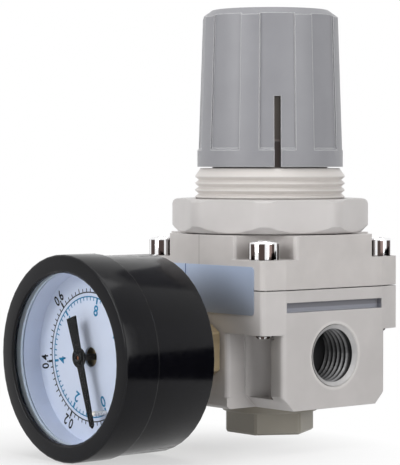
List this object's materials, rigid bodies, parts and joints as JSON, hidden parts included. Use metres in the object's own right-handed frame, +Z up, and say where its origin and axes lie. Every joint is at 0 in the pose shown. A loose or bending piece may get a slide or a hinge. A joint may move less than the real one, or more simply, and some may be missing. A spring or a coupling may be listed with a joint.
{
  "type": "air pressure regulator",
  "caption": "Air pressure regulator with a grey adjusting knob, a panel-mounting ring nut, side pipe ports and a round pressure gauge on its front.",
  "frame": {"origin": "centre of the bottom plug's foot", "axes": "+Z up along the adjusting knob's axis, +X out of the outlet port, -Y towards the gauge's face"},
  "size_m": [0.0432, 0.0786, 0.0949],
  "materials": {
    "cast_body": "satin paint on a casting",
    "ivory_plastic": "satin moulding",
    "grey_plastic": "fine-grained moulding",
    "beige_plastic": "satin moulding",
    "seal_rubber": "matt",
    "pale_rubber": "satin",
    "screw_chrome": "bright plated",
    "plain_steel": "plated",
    "spring_steel": "drawn wire",
    "brass": "turned",
    "black_enamel": "gloss",
    "clear_window": "clear",
    "dial_white": "satin",
    "pointer_black": "matt",
    "sticker": "satin film"
  },
  "bodies": {
    "housing": {"body": "cast_body", "bonnet": "ivory_plastic", "bonnet_screw_1": "screw_chrome", "bonnet_screw_2": "screw_chrome", "bonnet_screw_3": "screw_chrome", "bonnet_screw_4": "screw_chrome", "bottom_plug": "beige_plastic", "plug_seal": "seal_rubber", "rear_port_plug": "plain_steel", "label": "sticker", "diaphragm": "seal_rubber", "valve_spring": "spring_steel", "adjusting_spring": "spring_steel", "gauge_stem": "brass", "gauge_case": "black_enamel", "gauge_bezel": "black_enamel", "gauge_window": "clear_window", "window_gasket": "pale_rubber", "gauge_dial": "dial_white", "stop_pin": "brass", "pressure_tube": "brass", "tube_tip": "brass", "movement_back_plate": "brass", "movement_front_plate": "brass", "hairspring": "spring_steel"},
    "panel_nut": {"panel_nut": "ivory_plastic"},
    "spindle": {"adjusting_screw": "plain_steel", "thrust_washer": "brass"},
    "knob": {"knob": "grey_plastic"},
    "spring_nut": {"spring_nut": "brass"},
    "diaphragm_plate": {"diaphragm_plate": "plain_steel", "relief_seat": "brass"},
    "valve": {"valve_stem": "brass", "valve_disc": "seal_rubber"},
    "sector": {"sector_gear": "brass"},
    "link": {"link": "brass"},
    "pointer": {"pointer": "pointer_black", "pointer_arbor": "brass"}
  },
  "joints": [
    {"name": "spindle_turn", "type": "hinge", "parent": "housing", "child": "spindle", "pos_m": [0, 0, 0.077], "axis": [0, 0, -1], "range_deg": [0, 1800]},
    {"name": "knob_pull", "type": "slide", "parent": "spindle", "child": "knob", "axis": [0, 0, 1], "range_m": [0, 0.0022]},
    {"name": "spring_nut_travel", "type": "slide", "parent": "housing", "child": "spring_nut", "axis": [0, 0, -1], "range_m": [0, 0.0063], "deforming": ["adjusting_spring"]},
    {"name": "diaphragm_travel", "type": "slide", "parent": "housing", "child": "diaphragm_plate", "axis": [0, 0, -1], "range_m": [0, 0.001], "stiffness_N_per_m": 2000, "deforming": ["diaphragm"]},
    {"name": "valve_travel", "type": "slide", "parent": "housing", "child": "valve", "axis": [0, 0, -1], "range_m": [0, 0.001], "deforming": ["valve_spring"]},
    {"name": "panel_nut_travel", "type": "slide", "parent": "housing", "child": "panel_nut", "axis": [0, 0, 1], "range_m": [0, 0.006]},
    {"name": "sector_turn", "type": "hinge", "parent": "housing", "child": "sector", "pos_m": [0.0086, -0.0445, 0.01318], "axis": [0, -1, 0], "range_deg": [0, 44.5], "stiffness_Nm_per_rad": 0.002},
    {"name": "link_turn", "type": "hinge", "parent": "sector", "child": "link", "pos_m": [0.0118, -0.0438, 0.01318], "axis": [0, -1, 0], "range_deg": [-45, 0]},
    {"name": "pointer_turn", "type": "hinge", "parent": "housing", "child": "pointer", "pos_m": [0, -0.0445, 0.0192], "axis": [0, 1, 0], "range_deg": [0, 268]}
  ],
  "couplings": [
    {"joint": "spring_nut_travel", "follows": "spindle_turn", "m_per_rad": 0.00019894},
    {"joint": "valve_travel", "follows": "diaphragm_travel", "ratio": 1},
    {"joint": "pointer_turn", "follows": "sector_turn", "ratio": 6},
    {"joint": "link_turn", "follows": "sector_turn", "ratio": -1}
  ]
}
